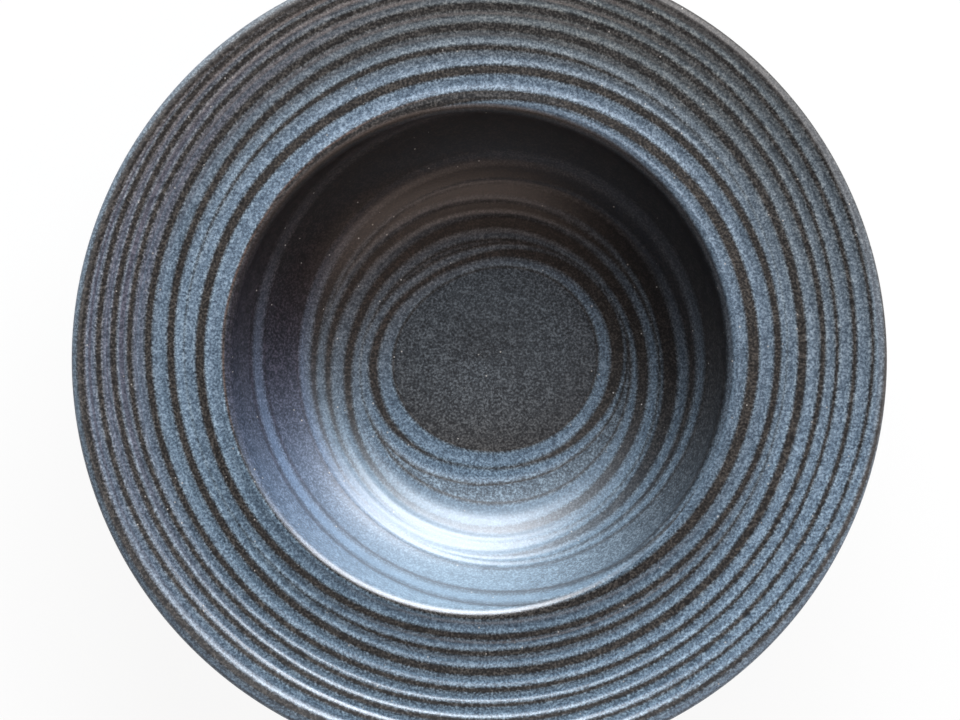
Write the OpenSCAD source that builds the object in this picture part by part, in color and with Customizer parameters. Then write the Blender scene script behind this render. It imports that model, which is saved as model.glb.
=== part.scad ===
// Wide-rimmed stoneware bowl: a deep round well inside a dished flange, with off-centre ripple rings.
// Millimetres. The bowl stands on z = 0 with its axis on Z.

/* [Rim and flange] */
// Diameter over the rim
rim_d = 270; // [256:1:290]
// Height of the rim above the lip of the well, along the middle of the flange's wall
flange_rise = 5; // [3:0.5:7]
// Slope of the flange where it leaves the lip, in degrees below level
flange_fall = 4; // [2:1:6]
// Slope of the flange at its outer edge, in degrees above level
flange_lift = 16; // [13:1:20]

/* [Well] */
// Diameter of the well at its lip
well_d = 167; // [156:1:174]
// Depth of the well, from the crown of the lip to the floor
well_depth = 37; // [32:1:42]
// Diameter of the flat floor
floor_d = 76; // [74:1:82]
// Slope of the wall where it leaves the floor, in degrees
wall_foot_slope = 6; // [3:1:9]
// Slope of the wall where it runs into the lip, in degrees
wall_lip_slope = 70; // [64:1:76]
// Radius of the rounded lip
lip_r = 3.2; // [2.4:0.2:4]

/* [Clay] */
// Thickness of the wall and the flange, over the glaze
wall_t = 5; // [4.4:0.2:6]
// Thickness of the floor, over the glaze
floor_t = 5.6; // [5:0.2:7]
// Slope at which the outside of the wall turns under the flange, in degrees
corner_slope = 54; // [50:1:58]
// Distance from the lip to where the underside of the flange starts
corner_run = 11; // [10:0.5:13]

/* [Foot ring] */
// Diameter of the foot ring
foot_d = 92; // [84:1:100]
// Width of the bare clay face that the bowl stands on
foot_face_w = 4.4; // [3:0.2:6]
// Height of the space inside the foot ring
foot_h = 4.4; // [3.6:0.2:6]
// Radius of the foot ring's two rounded edges
foot_edge_r = 0.8; // [0.4:0.1:1.2]
// Radius of the fillets beside the foot ring
foot_fillet = 2.4; // [2:0.2:3]

/* [Glaze] */
// Thickness of the dark glaze coat
coat_t = 0.35; // [0.3:0.05:0.5]
// Height of the glaze's edge above the ground, on both sides of the foot ring
glaze_line = 1.4; // [1.2:0.1:1.6]
// Thickness of the blue glaze in the middle of a flute
pool_t = 0.4; // [0.3:0.05:0.5]
// How far the blue glaze stops below the ridges
pool_drop = 0.08; // [0.05:0.01:0.15]

/* [Ripple rings] */
// Depth of a flute from its ridges to the blue glaze
ripple_depth = 0.55; // [0.4:0.05:0.7]
// How far the rings of the flange lie off the bowl's axis
flange_throw = 3.6; // [2:0.2:4]
// How far the rings of the well lie off the bowl's axis
well_throw = 5.3; // [3:0.1:5.6]

/* [Hidden] */
$fn = 96;

clay_colour = [0.50, 0.42, 0.35];
dark_colour = [0.17, 0.17, 0.19];
blue_colour = [0.42, 0.48, 0.55];

// Steps along each curve of the outline.
wall_steps = 18;
flange_steps = 12;
lip_steps = 6;
edge_steps = 5;
fillet_steps = 5;
hollow_steps = 5;

// Each ring of the flange from the lip outwards: its place and width as shares of the flange's breadth, how far
// off the axis it lies as a share of flange_throw, and in which direction, in degrees.
flange_place_shares = [0.125, 0.23, 0.325, 0.455, 0.58, 0.685, 0.78, 0.875];
flange_width_shares = [0.085, 0.07, 0.07, 0.092, 0.078, 0.07, 0.062, 0.058];
flange_throw_shares = [1, 1, 1, 1, 1, 0.9, 0.7, 0.45];
flange_turns = [35, 45, 50, 54, 62, 66, 65, 60];

// Each ring of the well: its place and width as shares of the way from the floor's edge to the lip, and its
// direction. All of them lie off the axis by well_throw. The first ring lies on the floor, so its share is negative.
well_place_shares = [-0.077, 0.05, 0.175, 0.335, 0.495, 0.615];
well_width_shares = [0.095, 0.066, 0.092, 0.092, 0.07, 0.088];
well_turns = [-6, -12, -26, -38, -27, -17];

rim_r = rim_d / 2;
well_r = well_d / 2;
floor_r = floor_d / 2;
foot_r = foot_d / 2;
edge_r = wall_t / 2;
floor_z = foot_h + floor_t;
lip_crown = [well_r + lip_r, floor_z + well_depth];

// Slope of a line that climbs straight up.
upright = 90;

// A direction that climbs outwards at the given slope, and the one square to it that points down into the clay.
function along(slope) = [cos(slope), sin(slope)];
function into(slope) = [sin(slope), -cos(slope)];

// A smooth curve from a to b that leaves a at slope_a and reaches b at slope_b.
function bend(a, slope_a, b, slope_b, steps) =
    let (corner = a + along(slope_a) * cross(b - a, along(slope_b)) / cross(along(slope_a), along(slope_b)))
    [for (i = [0:steps]) let (t = i / steps) a * (1 - t) ^ 2 + 2 * corner * t * (1 - t) + b * t ^ 2];

// A hollow arc of radius r round c, from one slope to another, or a domed one where r is negative.
function arc(c, r, from, to, steps) =
    [for (i = [0:steps]) c + r * into(from + (to - from) * i / steps)];

// The slope of a line of points at point i, and the line moved square to itself, down for a positive distance.
function slope_at(line, i) =
    let (d = line[min(i + 1, len(line) - 1)] - line[max(i - 1, 0)])
    atan2(d[1], d[0]);
function moved(line, distance) =
    [for (i = [0:len(line) - 1]) line[i] + distance * into(slope_at(line, i))];
function reversed(line) = [for (i = [len(line) - 1:-1:0]) line[i]];
function rest(line) = [for (i = [1:len(line) - 1]) line[i]];

// The top of the bowl over the glaze, from the axis to the outermost point of the rim.
lip_c = lip_crown - [0, lip_r];
edge_c = [rim_r - edge_r, lip_crown[1] + flange_rise - edge_r];
wall_line = bend([floor_r, floor_z], wall_foot_slope, lip_c - lip_r * into(wall_lip_slope), wall_lip_slope,
    wall_steps);
flange_line = bend(lip_c - lip_r * into(-flange_fall), -flange_fall, edge_c - edge_r * into(flange_lift),
    flange_lift, flange_steps);
top_line = concat(
    [[0, floor_z]],
    wall_line,
    rest(arc(lip_c, -lip_r, wall_lip_slope, -flange_fall, lip_steps)),
    rest(flange_line),
    rest(arc(edge_c, -edge_r, flange_lift, -upright, edge_steps))
);

// The underside over the glaze, from the edge of the glaze on the foot ring to the outermost point of the rim.
wall_under = [for (p = moved(wall_line, wall_t)) if (p[0] > foot_r + foot_fillet) p];
wall_outside = [for (i = [0:len(wall_under) - 1]) if (slope_at(wall_under, i) < corner_slope) wall_under[i]];
flange_outside = [for (p = moved(flange_line, wall_t)) if (p[0] > lip_crown[0] + corner_run) p];
foot_fillet_line = bend([foot_r, glaze_line + foot_edge_r], upright, wall_outside[0], slope_at(wall_outside, 0),
    fillet_steps);
corner_line = bend(wall_outside[len(wall_outside) - 1], corner_slope, flange_outside[0],
    slope_at(flange_outside, 0), wall_steps / 2);
under_line = concat(
    [[foot_r, glaze_line]],
    foot_fillet_line,
    rest(wall_outside),
    rest(corner_line),
    rest(flange_outside),
    rest(arc(edge_c, edge_r, flange_lift, upright, edge_steps))
);

// The underside inside the foot ring, over the glaze, from the axis to the edge of the glaze.
recess_r = foot_r - foot_face_w;
recess_line = concat(
    [[0, foot_h]],
    bend([recess_r - foot_fillet, foot_h], 0, [recess_r, foot_h - foot_fillet], -upright, fillet_steps),
    [[recess_r, glaze_line]]
);

// The bare foot between the two edges of the glaze, from its outer side to its inner side.
face_out_r = foot_r - coat_t;
face_in_r = recess_r + coat_t;
foot_line = concat(
    [[face_out_r, glaze_line]],
    arc([face_out_r - foot_edge_r, foot_edge_r], foot_edge_r, upright, 0, fillet_steps),
    arc([face_in_r + foot_edge_r, foot_edge_r], foot_edge_r, 0, -upright, fillet_steps),
    [[face_in_r, glaze_line]]
);

// Height and slope of the top over the glaze, at a distance r from the axis.
function top_z(r) = lookup(r, top_line);
function top_slope(r, half_w) = atan2(top_z(r + half_w) - top_z(r - half_w), 2 * half_w);

// A flute's hollow is an arc, sunk by flute_depth in the middle and as wide as the flute at the ridges. Its points
// are given from one edge to the other.
flute_depth = ripple_depth + pool_t;
function hollow(half_w, depth, steps) =
    let (r = (half_w ^ 2 + depth ^ 2) / (2 * depth), reach = asin(half_w / r))
    arc([0, r - depth], r, -reach, reach, steps);

module flute(w) {
    bed = hollow(w / 2, flute_depth, hollow_steps);
    polygon(concat(bed, [[w / 2, flute_depth], [-w / 2, flute_depth]]));
}

// The blue glaze lies on the bed of the flute and ends part of the way up its sides, just below the ridges. Its
// own top is hollow too.
module pool(w) {
    bed = hollow(w / 2, flute_depth, hollow_steps);
    edge = bed[0] + (bed[1] - bed[0]) * pool_drop / (bed[0] - bed[1])[1];
    shore = hollow(-edge[0], ripple_depth - pool_drop, hollow_steps - 1);
    polygon(concat(
        [edge],
        [for (i = [1:hollow_steps - 1]) bed[i]],
        [for (i = [hollow_steps - 1:-1:1]) shore[i] - [0, pool_drop]]
    ));
}

// Carries a section of width w once round the bowl at radius r, off the axis by throw towards turn. Its inner edge
// keeps to the surface: the section leans with the slope that it crosses, and the whole ring is tilted.
module ring(r, w, throw, turn) {
    in_r = r - w / 2;
    far_z = top_z(in_r + throw);
    near_z = top_z(in_r - throw);
    translate([throw * cos(turn), throw * sin(turn), (far_z + near_z + 2 * top_z(in_r)) / 4])
        rotate([0, 0, turn])
        rotate([0, -atan2(far_z - near_z, 2 * in_r), 0])
        rotate_extrude()
        translate([in_r, 0])
        rotate(top_slope(r, w / 2))
        translate([w / 2, 0])
        children();
}

flange_in_r = lip_crown[0];
flange_breadth = rim_r - flange_in_r;
module flange_rings() {
    for (i = [0:len(flange_turns) - 1]) {
        $w = flange_breadth * flange_width_shares[i];
        ring(flange_in_r + flange_breadth * flange_place_shares[i], $w,
            flange_throw * flange_throw_shares[i], flange_turns[i]) children();
    }
}

wall_breadth = well_r - floor_r;
module well_rings() {
    for (i = [0:len(well_turns) - 1]) {
        $w = wall_breadth * well_width_shares[i];
        ring(floor_r + wall_breadth * well_place_shares[i], $w, well_throw, well_turns[i]) children();
    }
}

module all_flutes() {
    flange_rings() flute($w);
    well_rings() flute($w);
}

// The fired clay: floor, wall, flange and foot ring in one piece, with the flutes pressed into its top.
module clay_body() {
    color(clay_colour)
    difference() {
        rotate_extrude() polygon(concat(
            moved(top_line, coat_t),
            reversed(moved(under_line, -coat_t)),
            foot_line,
            reversed(moved(recess_line, -coat_t))
        ));
        all_flutes();
    }
}

// The dark glaze on the floor, the wall, the ridges and the rim.
module top_dark_glaze() {
    color(dark_colour)
    difference() {
        rotate_extrude() polygon(concat(top_line, reversed(moved(top_line, coat_t))));
        all_flutes();
    }
}

// The blue glaze that has run together in the flutes.
module flange_blue_glaze() {
    color(blue_colour) flange_rings() pool($w);
}

module well_blue_glaze() {
    color(blue_colour) well_rings() pool($w);
}

// The dark glaze underneath, which stops above the ground on both sides of the foot ring.
module under_glaze() {
    color(dark_colour) rotate_extrude() polygon(concat(under_line, reversed(moved(under_line, -coat_t))));
}

module foot_glaze() {
    color(dark_colour) rotate_extrude() polygon(concat(recess_line, reversed(moved(recess_line, -coat_t))));
}

clay_body();
top_dark_glaze();
flange_blue_glaze();
well_blue_glaze();
under_glaze();
foot_glaze();
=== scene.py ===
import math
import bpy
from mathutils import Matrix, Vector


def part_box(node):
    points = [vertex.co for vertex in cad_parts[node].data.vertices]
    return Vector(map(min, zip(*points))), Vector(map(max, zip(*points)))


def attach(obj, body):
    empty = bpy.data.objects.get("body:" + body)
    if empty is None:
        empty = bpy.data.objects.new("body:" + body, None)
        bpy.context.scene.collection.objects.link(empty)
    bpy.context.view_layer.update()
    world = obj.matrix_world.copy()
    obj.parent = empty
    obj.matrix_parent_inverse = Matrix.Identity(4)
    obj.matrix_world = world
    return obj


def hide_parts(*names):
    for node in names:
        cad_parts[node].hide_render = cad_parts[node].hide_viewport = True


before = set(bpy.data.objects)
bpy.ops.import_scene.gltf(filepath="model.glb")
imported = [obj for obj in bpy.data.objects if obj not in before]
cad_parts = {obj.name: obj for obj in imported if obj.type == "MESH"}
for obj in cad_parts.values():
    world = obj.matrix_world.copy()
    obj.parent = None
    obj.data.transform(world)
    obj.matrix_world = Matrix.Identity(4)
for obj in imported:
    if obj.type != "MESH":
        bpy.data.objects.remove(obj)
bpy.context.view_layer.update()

# A wide-rimmed stoneware bowl: satin charcoal glaze with blue-grey glaze run together between the ridges of
# an off-centre set of ripple rings, over bare clay at the foot. Sizes in this script are in millimetres, in
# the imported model's frame, until a mesh is finished. Slopes and turns are in degrees, and a turn is counted
# anticlockwise from +X. What is called angle is a direction like a turn, but in radians.
from types import SimpleNamespace

import bmesh
import bpy
import numpy as np

MM = 0.001

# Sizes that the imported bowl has
RIM_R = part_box("under_glaze")[1][0] / MM
RIM_TOP = 52.0
EDGE_R = 2.5
EDGE_C = (RIM_R - EDGE_R, RIM_TOP - EDGE_R)
CROWN = (86.7, 47.0)
LIP_R = 3.2
LIP_C = (CROWN[0], CROWN[1] - LIP_R)
FLOOR_R = 38.0
FLOOR_Z = 10.0
WALL_SLOPES = (6, 70)
FLANGE_SLOPES = (-4, 16)
WALL_T = 5.0
CORNER_SLOPE = 54
CORNER_RUN = 11.0
FILLET = 2.4
FOOT_R = 46.0
FOOT_FACE = 4.4
FOOT_H = 4.4
FOOT_EDGE = 0.8
RECESS_R = FOOT_R - FOOT_FACE
COAT = 0.35
GLAZE_LINE = 1.4

# Sizes that only the dressed bowl has

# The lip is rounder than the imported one, so that it mirrors the window nearer to where the real one does.
GLAZED_LIP_R = 4.6
GLAZED_CROWN = (86.4, 47.0)
GLAZED_LIP_C = (GLAZED_CROWN[0], GLAZED_CROWN[1] - GLAZED_LIP_R)
# The top coat reaches below the deepest flute, so that it is one closed shell.
TOP_COAT = 1.1
# The floor is drawn finely only round the edge of its disc.
FLOOR_RADII = [0, 1.2, 3, 5.5, 9, 13, 17, 21, 24, 26] + [26 + 0.45 * i for i in range(1, 27)]
RECESS_RADII = [0, 2, 6, 12, 20, 28, 34, 37]
FILLET_STEPS = 8
CORNER_STEPS = 14
EDGE_STEPS = 8
FOOT_FACE_STEPS = 15
TOP_TURN_STEPS = 300
UNDER_TURN_STEPS = 256
PLAIN_TURN_STEPS = 192
# The turning tool leaves fine grooves on the foot's face.
GROOVE_DEPTH = 0.035
GROOVE_PITCH = 0.9

# Ripple rings

# A ring lies at radius from the axis on average and leans off it by lean towards turn. egg draws it out both
# ways along egg_turn. A dark ridge is half wide to each side of that line, more by swell towards swell_turn,
# and more by pinch both ways along pinch_turn. Where the half width falls below zero, the ridge dies out.
# Each row gives radius, lean, turn, egg, egg_turn, half, swell, swell_turn, pinch and pinch_turn.
FLANGE_RIDGES = [
    (87.3, 3.35, 24, 0.75, 17, 1.05, 0.65, 7, 0, 0),
    (95.0, 3.7, 33, 1.0, 15, 1.15, 0.3, 128, 0, 0),
    (105.9, 4.1, 54, 1.2, 97, 1.2, 0.1, 0, 0, 0),
    (112.6, 4.2, 61, 0.8, 94, 0.9, 0.2, 134, 0, 0),
    (118.0, 4.3, 71, 0.8, 96, 0.6, 0.15, 168, 0, 0),
    (123.3, 4.4, 68, 0.6, 96, 0.7, 0.1, 184, 0, 0),
    (128.1, 4.1, 62, 0.2, 47, 0.6, 0.2, 161, 0, 0),
    (132.5, 2.3, 53, 1.1, 22, 0.85, 0.25, 190, 0, 0),
]
WELL_RIDGES = [
    (38.65, 5.5, -10, 3.1, 14, 1.2, 0.35, 16, 0.55, 20),
    (50.8, 7.8, -46, 1.0, 88, 1.35, 0.3, 34, 0, 0),
    (64.6, 7.9, -17, 0.8, 95, 0.85, 0.8, 85, 0, 0),
]
# Ridges that die out on part of their way round. They are gone where their half width is this far below zero.
GONE_HALF = -0.5
DYING_RIDGES = [
    (100.3, 3.65, 55, 0.3, 90, 0.22, 0, 0, 0.65, 103),
    (60.7, 6.5, -42, 1.1, 88, 0.7, 1.55, 22, 0, 0),
    (56.5, 7.0, -47, 0.6, 107, 0.42, 0.6, 125, 0, 0),
]
# The broad ridge low in the well, which swells to a lens on the side towards -Y.
LENS_RIDGE = (44.0, 6.0, -30, 1.7, 13, 1.0, 1.15, -65, 1.2, -72)

# Lines without a width: radius, lean, turn, egg and egg_turn
DISC_EDGE = (32.8, 5.4, -2, 2.2, 12)
WALL_EDGE = (69.4, 7.3, 1, 0.7, 92)
# Two fine lines bound the band high in the well.
LOW_LINE = (79.7, 7.8, 18, 0, 0)
HIGH_LINE = (83.7, 7.5, 18, 0, 0)
FINE_LINE_HALF = 0.25

# Depth of the flutes, and the plain places that have none
FLUTE_DEPTH = 0.36
WELL_FLUTE_DEPTH = 0.17
FLUTE_DEPTH_SHARE = 0.13
WALL_END_R = 82.0
LIP_IN_R = 84.0
LIP_FLAT = (82.8, 85.4)
RIM_FLAT = 0.6
BEYOND_RIM_R = 2 * RIM_R

# Radii between which the glaze changes, and between which its painted light and shade change
WELL_END = (84, 85)
LIP_END = (86, 87)
FLUTES_DEEPEN = (84, 88)
INNER_FLANGE_END = (98, 106)
PAINTED_HIGHLIGHT_START = (44, 56)
LOW_WALL = (34, 52)
HIGH_WALL = (58, 66)
NAVY_START = (54, 64)
GREY_START = (90, 114)
VIOLET_ON_FLANGE = ((106, 118), (131, 133))
VIOLET_IN_WELL = ((56, 66), (70, 73))
MATT_BELOW_LIP = ((70, 76), (79.5, 81))
GLOSS_ON_LIP = ((80.5, 81.5), LIP_END)
# The first ridge of the flange joins the lip where its inner edge lies this near to the axis.
RIDGE_MEETS_LIP = (87.7, 89.1)

# Directions in which the glaze changes, and in which light and shade are painted on it
HIGHLIGHT_TURN = 255
WALL_BLUE_TURN = 262
LIT_WALL_TURN = 270
MEETING_TURN = 145
LIP_REFLECTION_TURN = 150
VIOLET_TURN = 168.5
NAVY_TURN = 188
GREY_TURN = 75
COOL_TURN = 265
WARM_LIGHT_TURN = 118
EDGE_SHADE_TURN = 54
# Painted light and shade on the blue, lighter or darker than elsewhere: the zone, the direction, how narrow,
# and by how much
PAINTED_LIGHT_PATCHES = [
    ("inner flange", 125, 1, 0.2),
    ("inner flange", 285, 1, -0.27),
    ("inner flange", 45, 2, -0.08),
    ("outer flange", 325, 2, 0.16),
    ("outer flange", 250, 1, -0.07),
    ("lip", 95, 3, -0.5),
]

# Light and camera
BOWL_TOP_FROM_CAMERA = 1500
# One pixel of the photograph spans this much at the rim.
PIXEL = 0.3306
FRAME_PX = (960, 720)
BOWL_CENTRE_PX = (479.3, 359.6)
SENSOR = 36
VIEW_REACH = 50000
LAMP_DISTANCE = 2400
LAMP_AIM_Z = 30
FLOOR_HALF_SIDE = 6000
# The white backdrop reaches as high as a camera beside the bowl sees.
BACKDROP_SLOPE = 9


# Lines of the bowl's section


def along(slope):
    return math.cos(math.radians(slope)), math.sin(math.radians(slope))


def into(slope):
    """The direction square to a line that climbs at slope, down into the clay."""
    return math.sin(math.radians(slope)), -math.cos(math.radians(slope))


def shift(point, direction, distance):
    return point[0] + direction[0] * distance, point[1] + direction[1] * distance


def cross(a, b):
    return a[0] * b[1] - a[1] * b[0]


def bend(a, slope_a, b, slope_b, steps):
    """A smooth curve from a to b that leaves a at slope_a and reaches b at slope_b."""
    run = cross((b[0] - a[0], b[1] - a[1]), along(slope_b)) / cross(along(slope_a), along(slope_b))
    corner = shift(a, along(slope_a), run)
    line = []
    for i in range(steps + 1):
        t = i / steps
        line.append(tuple(a[k] * (1 - t) ** 2 + 2 * corner[k] * t * (1 - t) + b[k] * t ** 2 for k in (0, 1)))
    return line


def arc(centre, radius, start, end, steps):
    """A hollow arc from one slope to another, or a domed one where the radius is negative."""
    return [shift(centre, into(start + (end - start) * i / steps), radius) for i in range(steps + 1)]


def slope_at(line, i):
    a, b = line[max(i - 1, 0)], line[min(i + 1, len(line) - 1)]
    return math.degrees(math.atan2(b[1] - a[1], b[0] - a[0]))


def moved(line, distance):
    """The line moved square to itself, down for a positive distance."""
    return [shift(p, into(slope_at(line, i)), distance) for i, p in enumerate(line)]


def top_line(floor_radii, wall_steps, lip_steps, flange_steps, edge_steps):
    """The top of the bowl from its axis to the outermost point of the rim."""
    wall = bend((FLOOR_R, FLOOR_Z), WALL_SLOPES[0], shift(GLAZED_LIP_C, into(WALL_SLOPES[1]), -GLAZED_LIP_R),
                WALL_SLOPES[1], wall_steps)
    lip = arc(GLAZED_LIP_C, -GLAZED_LIP_R, WALL_SLOPES[1], FLANGE_SLOPES[0], lip_steps)
    flange = bend(lip[-1], FLANGE_SLOPES[0], shift(EDGE_C, into(FLANGE_SLOPES[1]), -EDGE_R),
                  FLANGE_SLOPES[1], flange_steps)
    edge = arc(EDGE_C, -EDGE_R, FLANGE_SLOPES[1], -90, edge_steps)
    return [(r, FLOOR_Z) for r in floor_radii] + wall + lip[1:] + flange[1:] + edge[1:]


def coat_line():
    """The underside of the top coat, where it lies on the clay."""
    return moved(top_line([0, 20], wall_steps=14, lip_steps=3, flange_steps=9, edge_steps=3), TOP_COAT)


def under_line(wall_steps, flange_steps):
    """The underside from the edge of its glaze on the foot ring to the outermost point of the rim."""
    wall = bend((FLOOR_R, FLOOR_Z), WALL_SLOPES[0], shift(LIP_C, into(WALL_SLOPES[1]), -LIP_R),
                WALL_SLOPES[1], wall_steps)
    wall = [p for p in moved(wall, WALL_T) if p[0] > FOOT_R + FILLET]
    wall = [p for i, p in enumerate(wall) if slope_at(wall, i) < CORNER_SLOPE]
    flange = bend(shift(LIP_C, into(FLANGE_SLOPES[0]), -LIP_R), FLANGE_SLOPES[0],
                  shift(EDGE_C, into(FLANGE_SLOPES[1]), -EDGE_R), FLANGE_SLOPES[1], flange_steps)
    flange = [p for p in moved(flange, WALL_T) if p[0] > CROWN[0] + CORNER_RUN]
    fillet = bend((FOOT_R, GLAZE_LINE + FOOT_EDGE), 90, wall[0], slope_at(wall, 0), FILLET_STEPS)
    corner = bend(wall[-1], CORNER_SLOPE, flange[0], slope_at(flange, 0), CORNER_STEPS)
    edge = arc(EDGE_C, EDGE_R, FLANGE_SLOPES[1], 90, EDGE_STEPS)
    return [(FOOT_R, GLAZE_LINE)] + fillet + wall[1:] + corner[1:] + flange[1:] + edge[1:]


def recess_line(radii, steps):
    """The underside inside the foot ring, from the axis to the edge of its glaze."""
    turn = bend((RECESS_R - FILLET, FOOT_H), 0, (RECESS_R, FOOT_H - FILLET), -90, steps)
    return [(r, FOOT_H) for r in radii] + turn + [(RECESS_R, GLAZE_LINE)]


def foot_line(out_r, in_r):
    """The bare face of the foot ring and its two rounded edges, from the outside inwards."""
    step = (out_r - in_r - 2 * FOOT_EDGE) / FOOT_FACE_STEPS
    face = [(out_r - FOOT_EDGE - step * i, 0) for i in range(1, FOOT_FACE_STEPS)]
    return (arc((out_r - FOOT_EDGE, FOOT_EDGE), FOOT_EDGE, 90, 0, steps=5) + face
            + arc((in_r + FOOT_EDGE, FOOT_EDGE), FOOT_EDGE, 0, -90, steps=5))


# Ripples in the top of the bowl


def smooth(low, high, x):
    """0 up to low and 1 from high on, with a soft rise between them."""
    t = np.clip((x - low) / (high - low), 0, 1)
    return t * t * (3 - 2 * t)


def belt(r, start, end):
    """1 inside a belt and 0 outside. It rises between the radii of start and falls between those of end."""
    return smooth(*start, r) * (1 - smooth(*end, r))


def facing(angle, turn):
    """1 towards turn, less to both sides of it, and 0 from a quarter turn away."""
    return np.clip(np.cos(angle - math.radians(turn)), 0, 1)


def leaning(angle, turn):
    """1 towards turn, falling all the way round to 0 on the opposite side."""
    return (1 + np.cos(angle - math.radians(turn))) / 2


def line_of(angle, radius, lean, turn, egg, egg_turn):
    return (radius + lean * np.cos(angle - math.radians(turn))
            + egg * np.cos(2 * (angle - math.radians(egg_turn))))


def ridge_edges(angle, ring):
    radius, lean, turn, egg, egg_turn, half, swell, swell_turn, pinch, pinch_turn = ring
    middle = line_of(angle, radius, lean, turn, egg, egg_turn)
    # Each ridge wavers a little, and none like the next.
    middle += 0.1 * np.sin(5 * angle + radius) + 0.06 * np.sin(11 * angle - 2 * radius)
    width = (half + swell * np.cos(angle - math.radians(swell_turn))
             + pinch * np.cos(2 * (angle - math.radians(pinch_turn))))
    return middle - width, middle + width


def rings_at(angle):
    """Where each line of the ripple lies in these directions, as radii. A ridge is a pair of edges."""
    rings = SimpleNamespace()
    rings.in_well = [ridge_edges(angle, ring) for ring in WELL_RIDGES]
    rings.on_flange = [ridge_edges(angle, ring) for ring in FLANGE_RIDGES]
    rings.dying = [ridge_edges(angle, ring) for ring in DYING_RIDGES]
    rings.lens = ridge_edges(angle, LENS_RIDGE)
    rings.disc = line_of(angle, *DISC_EDGE)
    rings.wall_in = line_of(angle, *WALL_EDGE)
    rings.low_line = line_of(angle, *LOW_LINE)
    rings.high_line = line_of(angle, *HIGH_LINE)
    rings.wall_out = np.minimum(rings.low_line, WALL_END_R)
    # On one side the dark of the first ridge on the flange runs over the lip and joins the dark of the wall.
    inner_edge, outer_edge = rings.on_flange[0]
    joined = (1 - smooth(*RIDGE_MEETS_LIP, inner_edge)) * smooth(0, 0.35, facing(angle, MEETING_TURN))
    rings.lip_in = LIP_IN_R + (outer_edge - LIP_IN_R) * joined
    return rings


def hollow(r, ridges):
    """How far the flutes between these ridges lie below them, at r."""
    inner = np.zeros_like(r)
    outer = np.full_like(r, BEYOND_RIM_R)
    for low, high in ridges:
        within = low + high <= 2 * r
        inner = np.where(within, np.maximum(inner, high), inner)
        outer = np.where(within, outer, np.minimum(outer, low))
    gap = np.maximum(outer - inner, 1e-3)
    x = np.clip((2 * r - inner - outer) / gap, -1, 1)
    return np.minimum(FLUTE_DEPTH, FLUTE_DEPTH_SHARE * gap) * (1 + np.cos(math.pi * x)) / 2


def hollow_with_dying(r, ridges, dying):
    """The same where some ridges die out, so that the flutes beside them run into one."""
    if not dying:
        return hollow(r, ridges)
    low, high = dying[0]
    there = smooth(GONE_HALF, 0.0, (high - low) / 2)
    middle = (low + high) / 2
    half = np.maximum((high - low) / 2, 0)
    without = hollow_with_dying(r, ridges, dying[1:])
    with_it = hollow_with_dying(r, ridges + [(middle - half, middle + half)], dying[1:])
    return without + (with_it - without) * there


def flute_depth(r, rings):
    still = np.zeros_like(r)
    plain = [(-rings.disc, rings.disc),
             (rings.wall_in, rings.wall_out),
             (still + LIP_FLAT[0], still + LIP_FLAT[1]),
             (np.minimum(rings.high_line, LIP_FLAT[0]), still + LIP_FLAT[1]),
             (still + RIM_R - RIM_FLAT, still + BEYOND_RIM_R)]
    depth = hollow_with_dying(r, rings.in_well + rings.on_flange + plain, rings.dying + [rings.lens])
    return depth * (1 - (1 - WELL_FLUTE_DEPTH / FLUTE_DEPTH) * (1 - smooth(*FLUTES_DEEPEN, r)))


# What the glaze's material reads at each point


def blue_glaze(r, angle, rings):
    """Pool, how far a point lies inside a blue pool, wash, how much blue is mixed into the dark of the plain
    places, and painted_highlight, a pale even blue painted where the window's highlight lies low in the well."""
    in_well = 1 - smooth(*WELL_END, r)
    toward_highlight = leaning(angle, HIGHLIGHT_TURN)
    pool = np.full_like(r, np.inf)
    for low, high in rings.in_well + rings.on_flange + rings.dying + [rings.lens]:
        pool = np.minimum(pool, np.maximum(low - r, r - high))
    # Towards the window's highlight the dark ridges in the well are drawn narrower, and a pale painted
    # highlight is laid over the blue low in the well.
    pool = pool + 0.9 * in_well * toward_highlight ** 6
    painted_highlight = in_well * toward_highlight ** 5 * smooth(*PAINTED_HIGHLIGHT_START, r)
    wash = 0.45 * painted_highlight

    # On the disc the blue share, and so the lightness, rises towards +Y: painted light on the part that lies
    # in the shadow of the wall.
    disc_share = 0.2 + 0.17 * r * np.sin(angle) / DISC_EDGE[0]
    # On the plain bands of the wall the blue grows towards the window's highlight: partly a bluer glaze
    # there, partly painted light on the lit side.
    wall_share = 0.05 + 0.85 * leaning(angle, WALL_BLUE_TURN) ** 3.5
    plain = [(r - rings.disc, disc_share),
             (np.maximum(rings.wall_in - r, r - rings.wall_out), wall_share),
             (np.maximum(rings.high_line - r, r - rings.lip_in), wall_share),
             (np.maximum(rings.lens[0] - r, r - rings.lens[1]), 0.38 + 0.32 * toward_highlight ** 2)]
    for away, share in plain:
        pool = np.minimum(pool, away)
        wash = np.maximum(wash, share * smooth(0.1, 0.8, -away))
    for line in (rings.low_line, rings.high_line):
        away = np.abs(r - line)
        pool = np.where(r < LIP_IN_R, np.minimum(pool, away - FINE_LINE_HALF), pool)
        wash = np.where(r < LIP_IN_R, wash * (0.3 + 0.7 * smooth(0.1, 0.4, away)), wash)
    return {"pool": pool, "wash": wash, "painted_highlight": painted_highlight}


def ring_count(r, rings):
    """A count that rises by one from each ring to the next, from the axis outwards."""
    still = np.zeros_like(r)
    rises = [still, rings.disc] + [(low + high) / 2 for low, high in rings.in_well]
    rises += [rings.wall_in, rings.wall_out, still + LIP_IN_R]
    rises += [(low + high) / 2 for low, high in rings.on_flange] + [still + RIM_R]
    return sum(np.clip((r - a) / np.maximum(b - a, 0.1), 0, 1) for a, b in zip(rises, rises[1:]))


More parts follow.
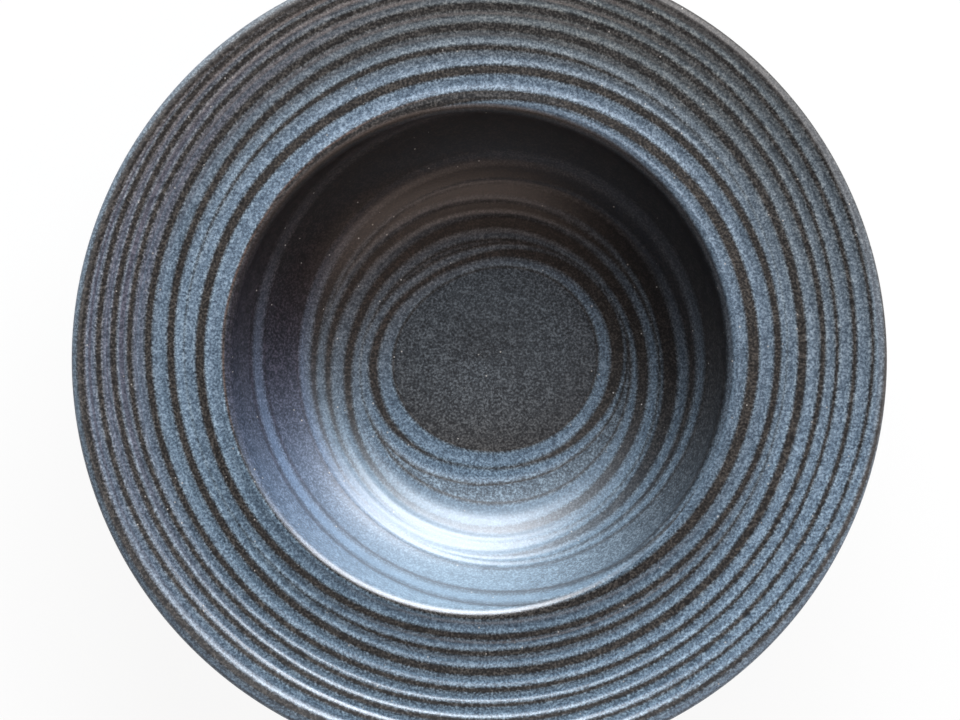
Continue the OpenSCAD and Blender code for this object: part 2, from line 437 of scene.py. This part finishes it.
def tints(r, angle, rings):
    """Well, 1 in the well and 0 on the flange, painted_shade, painted shade on the well's wall away from the
    window, light, a factor for the blue that paints light and shade on it, painted_warm_light, a warm painted
    light on the well's upper left, painted_lip_reflection, a warm painted reflection along the lip, and
    violet, navy, grey and cool, how strongly these tints show."""
    in_well = 1 - smooth(*WELL_END, r)
    # Painted shade: the well's wall is darkened on the side away from the window, more so up the wall.
    shaded_side = 1 - leaning(angle, LIT_WALL_TURN) ** 1.5
    up_the_wall = 0.55 + 0.3 * smooth(*LOW_WALL, r) + 0.3 * smooth(*HIGH_WALL, r)
    cool_on_flange = 0.7 * leaning(angle, HIGHLIGHT_TURN) ** 2 + 0.5 * facing(angle, COOL_TURN)
    violet_belts = np.maximum(belt(r, *VIOLET_ON_FLANGE), 0.5 * belt(r, *VIOLET_IN_WELL))
    from_lip_line = np.abs(r - rings.lip_in + 0.1)
    outwards = smooth(*INNER_FLANGE_END, r)
    zones = {"lip": (1 - in_well) * (1 - smooth(*LIP_END, r)), "inner flange": (1 - in_well) * (1 - outwards),
             "outer flange": outwards}
    return {
        "well": in_well,
        "painted_shade": np.minimum(in_well * (0.05 + 0.95 * shaded_side) * up_the_wall, 1),
        "light": 1 + sum(more * zones[zone] * facing(angle, turn) ** narrow
                         for zone, turn, narrow, more in PAINTED_LIGHT_PATCHES),
        "violet": facing(angle, VIOLET_TURN) ** 2 * violet_belts,
        "navy": in_well * facing(angle, NAVY_TURN) ** 3 * smooth(*NAVY_START, r),
        "grey": facing(angle, GREY_TURN) * smooth(*GREY_START, r),
        "cool": in_well + (1 - in_well) * cool_on_flange,
        # Painted warm light, where the warm lamp lights the upper left of the well.
        "painted_warm_light": in_well * facing(angle, WARM_LIGHT_TURN) * smooth(-1, 2, r - rings.disc),
        # Painted warm reflection, a thin reddish line along the lip on the left.
        "painted_lip_reflection": smooth(0.5, 0.95, facing(angle, LIP_REFLECTION_TURN)) * (1 - smooth(0.1, 0.45, from_lip_line)),
    }


def glaze_values(r, angle, z, rings):
    """All that the material reads, with the rounded edge of the rim and matt, how much rougher a point is."""
    values = {**blue_glaze(r, angle, rings), **tints(r, angle, rings), "band": ring_count(r, rings)}
    # Over the rounded edge the blue stops short of the rim's outermost line.
    to_edge = np.where(r > EDGE_C[0], (z - EDGE_C[1]) * 0.8 + 0.8, np.inf)
    values["pool"] = np.minimum(values["pool"], to_edge)
    on_edge = smooth(EDGE_C[0] - 1, EDGE_C[0], r)
    # Over the rounded edge towards the window, painted shade darkens the glaze and dims its mirrored
    # highlight.
    values["painted_shade"] = np.maximum(values["painted_shade"], 0.8 * on_edge * facing(angle, EDGE_SHADE_TURN) ** 2)
    gloss_on_lip = belt(r, *GLOSS_ON_LIP) * (0.5 - 0.5 * np.sin(angle))
    values["matt"] = (0.07 * values["well"] + 0.08 * belt(r, *MATT_BELOW_LIP) - 0.06 * gloss_on_lip
                      + 0.25 * on_edge)
    return values


# Meshes


def lathe(name, outline, steps, closed=False):
    """A solid turned from an outline that starts and ends on the axis, or a ring from a closed one. A float
    layer keeps each point's place in the outline."""
    mesh = bpy.data.meshes.new(name)
    form = bmesh.new()
    row = form.verts.layers.float.new("row")
    points = []
    for i, (r, z) in enumerate(outline):
        point = form.verts.new((r * MM, 0, z * MM))
        point[row] = i
        points.append(point)
    ends = points[1:] + points[:1] if closed else points[1:]
    edges = [form.edges.new(pair) for pair in zip(points, ends)]
    bmesh.ops.spin(form, geom=points + edges, axis=(0, 0, 1), cent=(0, 0, 0), steps=steps,
                   angle=2 * math.pi, use_merge=True)
    bmesh.ops.remove_doubles(form, verts=form.verts, dist=1e-7)
    bmesh.ops.recalc_face_normals(form, faces=form.faces)
    for face in form.faces:
        face.smooth = True
    form.to_mesh(mesh)
    form.free()
    piece = bpy.data.objects.new(name, mesh)
    bpy.context.scene.collection.objects.link(piece)
    return piece


def read(mesh):
    """The mesh's points as radius, angle in radians, height and row."""
    count = len(mesh.vertices)
    flat = np.empty(count * 3)
    mesh.vertices.foreach_get("co", flat)
    x, y, z = (flat.reshape(count, 3) / MM).T
    row = np.empty(count)
    mesh.attributes["row"].data.foreach_get("value", row)
    return np.hypot(x, y), np.arctan2(y, x), z, np.rint(row).astype(int)


def write(mesh, r, angle, z, **values):
    """Moves the mesh's points, and keeps each of the values as an attribute in place of the row."""
    points = np.stack([r * np.cos(angle), r * np.sin(angle), z], axis=1) * MM
    mesh.vertices.foreach_set("co", points.ravel())
    mesh.attributes.remove(mesh.attributes["row"])
    for name, value in values.items():
        layer = mesh.attributes.new(name, "FLOAT", "POINT")
        layer.data.foreach_set("value", value.astype(np.float32))
    mesh.update()


def top_glaze():
    face = top_line(FLOOR_RADII, wall_steps=122, lip_steps=10, flange_steps=122, edge_steps=10)
    piece = lathe("top_glaze", face + coat_line()[::-1], TOP_TURN_STEPS)
    r, angle, z, row = read(piece.data)
    rings = rings_at(angle)
    depth = np.where(row < len(face), flute_depth(r, rings), 0)
    inwards = np.array([into(slope_at(face, i)) for i in range(len(face))])
    inwards = inwards[np.minimum(row, len(face) - 1)]
    values = glaze_values(r, angle, z, rings)
    write(piece.data, r + depth * inwards[:, 0], angle, z + depth * inwards[:, 1], **values)
    return piece


def under_glaze():
    face = under_line(wall_steps=70, flange_steps=60)
    piece = lathe("under_glaze", face + moved(face, -COAT)[::-1], UNDER_TURN_STEPS, closed=True)
    r, angle, z, row = read(piece.data)
    # The edge of the glaze wanders up and down the foot ring.
    wander = 0.12 * np.sin(3 * angle + 1) + 0.07 * np.sin(7 * angle) + 0.05 * np.sin(16 * angle + 2)
    write(piece.data, r, angle, z + wander * (1 - smooth(GLAZE_LINE, GLAZE_LINE + 1.6, z)))
    return piece


def foot_glaze():
    face = recess_line(RECESS_RADII, steps=8)
    piece = lathe("foot_glaze", face + moved(face, -COAT)[::-1], PLAIN_TURN_STEPS)
    r, angle, z, row = read(piece.data)
    wander = 0.1 * np.sin(4 * angle) + 0.06 * np.sin(9 * angle + 1)
    write(piece.data, r, angle, z + wander * (1 - smooth(GLAZE_LINE, GLAZE_LINE + 1.2, z)))
    return piece


def clay_body():
    under = moved(under_line(wall_steps=40, flange_steps=24), -COAT)
    recess = moved(recess_line([0, 12, 30], steps=6), -COAT)
    out_r, in_r = FOOT_R - COAT, RECESS_R + COAT
    outline = coat_line() + under[::-1] + foot_line(out_r, in_r) + recess[::-1]
    piece = lathe("clay_body", outline, PLAIN_TURN_STEPS)
    r, angle, z, row = read(piece.data)
    groove = GROOVE_DEPTH * (1 + np.sin(r * 2 * math.pi / GROOVE_PITCH + 0.6 * np.sin(angle)))
    on_face = belt(r, (in_r + 0.5, in_r + 1), (out_r - 1, out_r - 0.5))
    write(piece.data, r, angle, z + np.where(z < GROOVE_DEPTH / 2, groove * on_face, 0))
    return piece


# Finishes


def colour(red, green, blue):
    """A colour given as it looks on a screen, from 0 to 255."""
    shares = [c / 255 for c in (red, green, blue)]
    linear = [((s + 0.055) / 1.055) ** 2.4 if s > 0.04 else s / 12.92 for s in shares]
    return (*linear, 1)


PALE_FLECK = colour(190, 184, 178)


class Finish:
    """Builds one material from nodes, with short words for the steps that the glazes and the clay share."""

    def __init__(self, name):
        self.material = bpy.data.materials.new(name)
        self.material.use_nodes = True
        self.tree = self.material.node_tree
        self.shader = self.tree.nodes["Principled BSDF"]
        self.place = self.add("ShaderNodeTexCoord").outputs["Object"]

    def add(self, kind, **settings):
        node = self.tree.nodes.new(kind)
        for name, value in settings.items():
            setattr(node, name, value)
        return node

    def join(self, source, socket):
        if isinstance(source, (int, float, tuple)):
            socket.default_value = source
        else:
            self.tree.links.new(source, socket)

    def value(self, name):
        return self.add("ShaderNodeAttribute", attribute_name=name).outputs["Fac"]

    def noise(self, size, detail=2.0, roughness=0.5):
        """Noise with features about size millimetres across."""
        node = self.add("ShaderNodeTexNoise")
        self.join(self.place, node.inputs["Vector"])
        node.inputs["Scale"].default_value = 1 / (size * MM)
        node.inputs["Detail"].default_value = detail
        node.inputs["Roughness"].default_value = roughness
        return node.outputs["Fac"]

    def math(self, operation, a, b=0.0, c=0.0):
        node = self.add("ShaderNodeMath", operation=operation)
        for source, socket in zip((a, b, c), node.inputs):
            self.join(source, socket)
        return node.outputs[0]

    def step(self, low, high, x, start=0.0, end=1.0, curve="SMOOTHSTEP"):
        """A rise from start at low to end at high."""
        node = self.add("ShaderNodeMapRange", interpolation_type=curve)
        for source, socket in zip((x, low, high, start, end), node.inputs):
            self.join(source, socket)
        return node.outputs["Result"]

    def mix(self, share, a, b, blend="MIX"):
        node = self.add("ShaderNodeMix", data_type="RGBA", blend_type=blend)
        for source, name in ((share, "Factor"), (a, "A"), (b, "B")):
            self.join(source, node.inputs[name])
        return node.outputs["Result"]

    def tint(self, share, a, red, green, blue):
        """The colour a times these factors, where share is 1."""
        return self.mix(share, a, (red, green, blue, 1), "MULTIPLY")

    def lines(self, band, count):
        """Lines of uneven strength, about count of them for each whole step of band."""
        node = self.add("ShaderNodeTexNoise", noise_dimensions="1D")
        self.join(band, node.inputs["W"])
        node.inputs["Scale"].default_value = count
        node.inputs["Detail"].default_value = 2
        return node.outputs["Fac"]

    def ramp(self, x, *stops):
        node = self.add("ShaderNodeValToRGB")
        self.join(x, node.inputs["Fac"])
        points = node.color_ramp.elements
        while len(points) < len(stops):
            points.new(0.5)
        for point, (place, shade) in zip(points, stops):
            point.position = place
            point.color = shade
        return node.outputs["Color"]

    def flecks(self, spacing, size, share):
        """Scattered spots, size across, in this share of cells that are spacing millimetres wide."""
        node = self.add("ShaderNodeTexVoronoi")
        self.join(self.place, node.inputs["Vector"])
        node.inputs["Scale"].default_value = 1 / (spacing * MM)
        chosen = self.add("ShaderNodeSeparateColor")
        self.join(node.outputs["Color"], chosen.inputs["Color"])
        spot = self.step(size / spacing, 0.6 * size / spacing, node.outputs["Distance"])
        return self.math("MULTIPLY", spot, self.math("GREATER_THAN", chosen.outputs["Red"], 1 - share))

    def bump(self, height, distance, strength):
        node = self.add("ShaderNodeBump")
        node.inputs["Strength"].default_value = strength
        node.inputs["Distance"].default_value = distance * MM
        self.join(height, node.inputs["Height"])
        self.join(node.outputs["Normal"], self.shader.inputs["Normal"])

    def fixed(self, **numbers):
        for name, number in numbers.items():
            self.shader.inputs[name.replace("_", " ")].default_value = number


def share_of_blue(f, mottle):
    """How much blue there is. The grain makes a pool's edge ragged, and plain places take blue in specks."""
    wash = f.value("wash")
    ragged = f.math("ADD", f.value("pool"), f.math("MULTIPLY_ADD", mottle, 1.8, -0.9))
    in_pool = f.step(-0.4, f.math("MULTIPLY_ADD", f.value("well"), 0.4, 1.0), ragged)
    speck = f.step(0.36, 0.64, mottle, 0.35, 1.65, "LINEAR")
    # Where there is much blue, the specks differ less.
    even = f.math("MULTIPLY", wash, 0.7)
    speck = f.math("ADD", f.math("MULTIPLY", speck, f.math("SUBTRACT", 1.0, even)), even)
    return f.math("MAXIMUM", in_pool, f.math("MULTIPLY", wash, speck))


def dark_of_ridges(f, mottle):
    dark = f.ramp(mottle, (0.41, colour(19, 18, 18)), (0.5, colour(43, 40, 38)), (0.59, colour(80, 74, 69)))
    # Painted shade darkens the ridges on the well's wall away from the window.
    dark = f.tint(f.value("painted_shade"), dark, 0.3, 0.27, 0.27)
    dark = f.tint(f.value("navy"), dark, 1.05, 1.05, 1.55)
    dark = f.tint(f.value("cool"), dark, 0.95, 0.99, 1.03)
    dark = f.tint(f.value("grey"), dark, 1.15, 1.25, 1.35)
    # Painted highlight: low in the well, towards the window's highlight, the ridges are lifted to a pale
    # blue-grey.
    return f.mix(f.math("MULTIPLY", f.value("painted_highlight"), 0.5), dark, colour(94, 108, 122))


def blue_of_pools(f, mottle, stripe):
    pool, violet = f.value("pool"), f.value("violet")
    blue = f.ramp(mottle, (0.375, colour(66, 79, 93)), (0.5, colour(107, 124, 139)),
                  (0.625, colour(157, 173, 187)))
    blue = f.tint(f.step(0.4, 1.6, pool), blue, 0.84, 0.86, 0.9)
    blue = f.tint(f.step(0.35, 0.6, stripe, 0.0, 0.35), blue, 0.6, 0.6, 0.62)
    # Painted shade darkens the blue on the well's wall away from the window.
    blue = f.tint(f.value("painted_shade"), blue, 0.3, 0.22, 0.19)
    # The violet is palest at the edge of a pool, and runs round it in streaks.
    blue = f.tint(violet, blue, 1.24, 1.05, 0.99)
    core = f.math("MULTIPLY", f.step(0.45, 0.85, pool), violet)
    blue = f.tint(core, blue, 0.7, 0.7, 0.74)
    streak = f.math("MULTIPLY", f.step(0.46, 0.58, f.lines(f.value("band"), 3.4)), violet)
    blue = f.tint(streak, blue, 0.77, 0.67, 0.68)
    blue = f.tint(f.value("grey"), blue, 0.78, 0.65, 0.53)
    # Painted light and shade: the blue is made lighter or darker by direction.
    blue = f.mix(1.0, blue, f.value("light"), "MULTIPLY")
    # Painted highlight: low in the well, towards the window's highlight, the blue is evened out to a pale
    # blue.
    blue = f.mix(f.math("MULTIPLY", f.value("painted_highlight"), 0.6), blue, colour(136, 153, 168))
    return f.tint(f.value("cool"), blue, 0.92, 1.01, 1.05)


def glaze_finish():
    f = Finish("ripple_glaze")
    grain = f.noise(0.78, 2, 0.6)
    fine = f.noise(0.38, 1, 0.5)
    patch = f.noise(3.2, 2, 0.5)
    stripe = f.lines(f.value("band"), 5)
    mottle = f.math("ADD", f.math("MULTIPLY", grain, 0.62), f.math("MULTIPLY", fine, 0.2))
    mottle = f.math("ADD", mottle, f.math("MULTIPLY", patch, 0.18))

    body = f.mix(share_of_blue(f, mottle), dark_of_ridges(f, mottle), blue_of_pools(f, mottle, stripe))
    # Painted warm light on the upper left of the well.
    body = f.tint(f.value("painted_warm_light"), body, 1.0, 0.8, 0.7)
    body = f.tint(f.value("navy"), body, 0.95, 0.98, 1.2)
    # Painted warm reflection: a speckled reddish line along the lip on the left.
    painted_lip_reflection = f.math("MULTIPLY", f.value("painted_lip_reflection"), f.step(0.42, 0.56, mottle, 0.15, 0.8))
    body = f.mix(painted_lip_reflection, body, colour(112, 88, 78))
    body = f.mix(f.math("MULTIPLY", f.flecks(2.4, 0.34, 0.1), 0.75), body, PALE_FLECK)
    f.join(body, f.shader.inputs["Base Color"])

    rough = f.math("ADD", f.value("matt"), 0.3)
    f.join(f.math("MULTIPLY_ADD", grain, 0.08, rough), f.shader.inputs["Roughness"])
    # Where the painted shade lies, the glaze also mirrors less of what is round it, and warmer: a painted
    # darkening of its reflections.
    mirrored = f.mix(f.value("painted_shade"), (1.0, 0.96, 0.975, 1.0), (0.48, 0.44, 0.42, 1.0))
    f.join(mirrored, f.shader.inputs["Specular Tint"])
    f.fixed(IOR=1.9)
    f.bump(f.math("MULTIPLY_ADD", stripe, 5.0, mottle), 0.04, 0.14)
    return f.material


def dark_finish():
    f = Finish("charcoal_glaze")
    grain = f.noise(0.62, 2, 0.6)
    fine = f.noise(0.34, 1, 0.5)
    patch = f.noise(9, 3, 0.55)
    mottle = f.math("ADD", f.math("MULTIPLY", grain, 0.6), f.math("MULTIPLY", fine, 0.4))
    dark = f.ramp(mottle, (0.36, colour(24, 23, 24)), (0.52, colour(48, 46, 47)), (0.66, colour(86, 84, 84)))
    dark = f.mix(f.step(0.4, 0.65, patch, 0.0, 0.35), dark, colour(60, 66, 78))
    dark = f.mix(f.math("MULTIPLY", f.flecks(2.6, 0.42, 0.08), 0.7), dark, PALE_FLECK)
    f.join(dark, f.shader.inputs["Base Color"])
    f.join(f.math("MULTIPLY_ADD", grain, 0.12, 0.34), f.shader.inputs["Roughness"])
    f.fixed(IOR=1.9)
    f.bump(mottle, 0.05, 0.5)
    return f.material


def clay_finish():
    f = Finish("bare_stoneware")
    grit = f.noise(0.9, 4, 0.65)
    patch = f.noise(8, 3, 0.5)
    clay = f.ramp(grit, (0.3, colour(132, 116, 98)), (0.5, colour(160, 143, 123)),
                  (0.7, colour(182, 166, 146)))
    clay = f.mix(f.step(0.35, 0.7, patch, 0.0, 0.4), clay, colour(138, 118, 98))
    clay = f.mix(f.math("MULTIPLY", f.flecks(1.9, 0.45, 0.25), 0.7), clay, colour(78, 66, 56))
    f.join(clay, f.shader.inputs["Base Color"])
    f.join(f.math("MULTIPLY_ADD", grit, 0.15, 0.75), f.shader.inputs["Roughness"])
    f.bump(grit, 0.12, 0.6)
    return f.material


# The pieces

glaze = glaze_finish()
charcoal = dark_finish()

top = top_glaze()
top.data.materials.append(glaze)
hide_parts("top_dark_glaze", "flange_blue_glaze", "well_blue_glaze")

under = under_glaze()
under.data.materials.append(charcoal)
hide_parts("under_glaze")

recess = foot_glaze()
recess.data.materials.append(charcoal)
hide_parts("foot_glaze")

clay = clay_body()
clay.data.materials.append(clay_finish())
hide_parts("clay_body")

for piece in (top, under, recess, clay):
    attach(piece, "root")


# Floor, light and camera


def seen_share(tree):
    """1 for a ray that shows the background: from the camera itself, or mirrored, or through glass."""
    ray = tree.nodes.new("ShaderNodeLightPath")
    seen = ray.outputs["Is Camera Ray"]
    for way in ("Is Glossy Ray", "Is Transmission Ray"):
        either = tree.nodes.new("ShaderNodeMath")
        either.operation = "MAXIMUM"
        tree.links.new(seen, either.inputs[0])
        tree.links.new(ray.outputs[way], either.inputs[1])
        seen = either.outputs[0]
    return seen


def show_white(tree, share, factor, lit, white, surface):
    """Shows white in place of lit, as far as share times factor says. The factor is a number or a socket."""
    part = tree.nodes.new("ShaderNodeMath")
    part.operation = "MULTIPLY"
    tree.links.new(share, part.inputs[0])
    if isinstance(factor, float):
        part.inputs[1].default_value = factor
    else:
        tree.links.new(factor, part.inputs[1])
    mixed = tree.nodes.new("ShaderNodeMixShader")
    tree.links.new(part.outputs[0], mixed.inputs["Fac"])
    tree.links.new(lit.outputs[0], mixed.inputs[1])
    tree.links.new(white.outputs[0], mixed.inputs[2])
    tree.links.new(mixed.outputs[0], surface)


def floor():
    mesh = bpy.data.meshes.new("floor")
    form = bmesh.new()
    bmesh.ops.create_grid(form, x_segments=2, y_segments=2, size=FLOOR_HALF_SIDE * MM)
    form.to_mesh(mesh)
    form.free()
    piece = bpy.data.objects.new("floor", mesh)
    bpy.context.scene.collection.objects.link(piece)
    material = bpy.data.materials.new("pale_floor")
    material.use_nodes = True
    tree = material.node_tree
    paint = tree.nodes["Principled BSDF"]
    paint.inputs["Base Color"].default_value = (0.86, 0.86, 0.86, 1)
    paint.inputs["Roughness"].default_value = 0.9
    paint.inputs["Specular IOR Level"].default_value = 0.1
    white = tree.nodes.new("ShaderNodeEmission")
    white.inputs["Color"].default_value = (1, 1, 1, 1)
    # A little of the paint stays, and shows the bowl's shadow.
    show_white(tree, seen_share(tree), 0.92, paint, white, tree.nodes["Material Output"].inputs["Surface"])
    mesh.materials.append(material)


def softbox(name, azimuth, elevation, width, height, radiance, tint):
    """A flat lamp that faces the bowl. Its radiance is what a mirror shows of it."""
    lamp = bpy.data.lights.new(name, "AREA")
    lamp.shape = "RECTANGLE"
    lamp.size = width * MM
    lamp.size_y = height * MM
    lamp.energy = 4 * radiance * lamp.size * lamp.size_y
    lamp.color = tint
    box = bpy.data.objects.new(name, lamp)
    bpy.context.scene.collection.objects.link(box)
    a, e = math.radians(azimuth), math.radians(elevation)
    away = LAMP_DISTANCE * MM
    box.location = (away * math.cos(e) * math.cos(a), away * math.cos(e) * math.sin(a),
                    away * math.sin(e) + LAMP_AIM_Z * MM)
    box.rotation_euler = (math.pi / 2 - e, 0, a + math.pi / 2)


def studio():
    world = bpy.data.worlds.new("studio")
    world.use_nodes = True
    bpy.context.scene.world = world
    tree = world.node_tree
    dim = tree.nodes["Background"]
    dim.inputs["Color"].default_value = (1.0, 0.9, 0.82, 1)
    dim.inputs["Strength"].default_value = 0.035
    white = tree.nodes.new("ShaderNodeBackground")
    white.inputs["Color"].default_value = (1, 1, 1, 1)
    white.inputs["Strength"].default_value = 1.0
    direction = tree.nodes.new("ShaderNodeTexCoord")
    parts = tree.nodes.new("ShaderNodeSeparateXYZ")
    tree.links.new(direction.outputs["Generated"], parts.inputs[0])
    low = tree.nodes.new("ShaderNodeMath")
    low.operation = "LESS_THAN"
    low.inputs[1].default_value = math.sin(math.radians(BACKDROP_SLOPE))
    tree.links.new(parts.outputs["Z"], low.inputs[0])
    surface = tree.nodes["World Output"].inputs["Surface"]
    show_white(tree, seen_share(tree), low.outputs[0], dim, white, surface)

    softbox("window", 77, 31, 2700, 1250, 10.92, (0.93, 0.97, 1.0))
    softbox("warm_fill", -74, 41, 3000, 900, 1.65, (1.0, 0.84, 0.76))


def camera():
    """A camera straight above, as the photograph's was, with the bowl where the photograph has it."""
    lens = bpy.data.cameras.new("camera")
    lens.sensor_width = SENSOR
    lens.lens = SENSOR * BOWL_TOP_FROM_CAMERA / (PIXEL * FRAME_PX[0])
    lens.clip_end = VIEW_REACH * MM
    view = bpy.data.objects.new("camera", lens)
    aside = (FRAME_PX[0] / 2 - BOWL_CENTRE_PX[0]) * PIXEL
    below = (FRAME_PX[1] / 2 - BOWL_CENTRE_PX[1]) * PIXEL
    view.location = (aside * MM, -below * MM, (RIM_TOP + BOWL_TOP_FROM_CAMERA) * MM)
    bpy.context.scene.collection.objects.link(view)
    bpy.context.scene.camera = view


floor()
studio()
camera()
bpy.context.scene.view_settings.view_transform = "Standard"
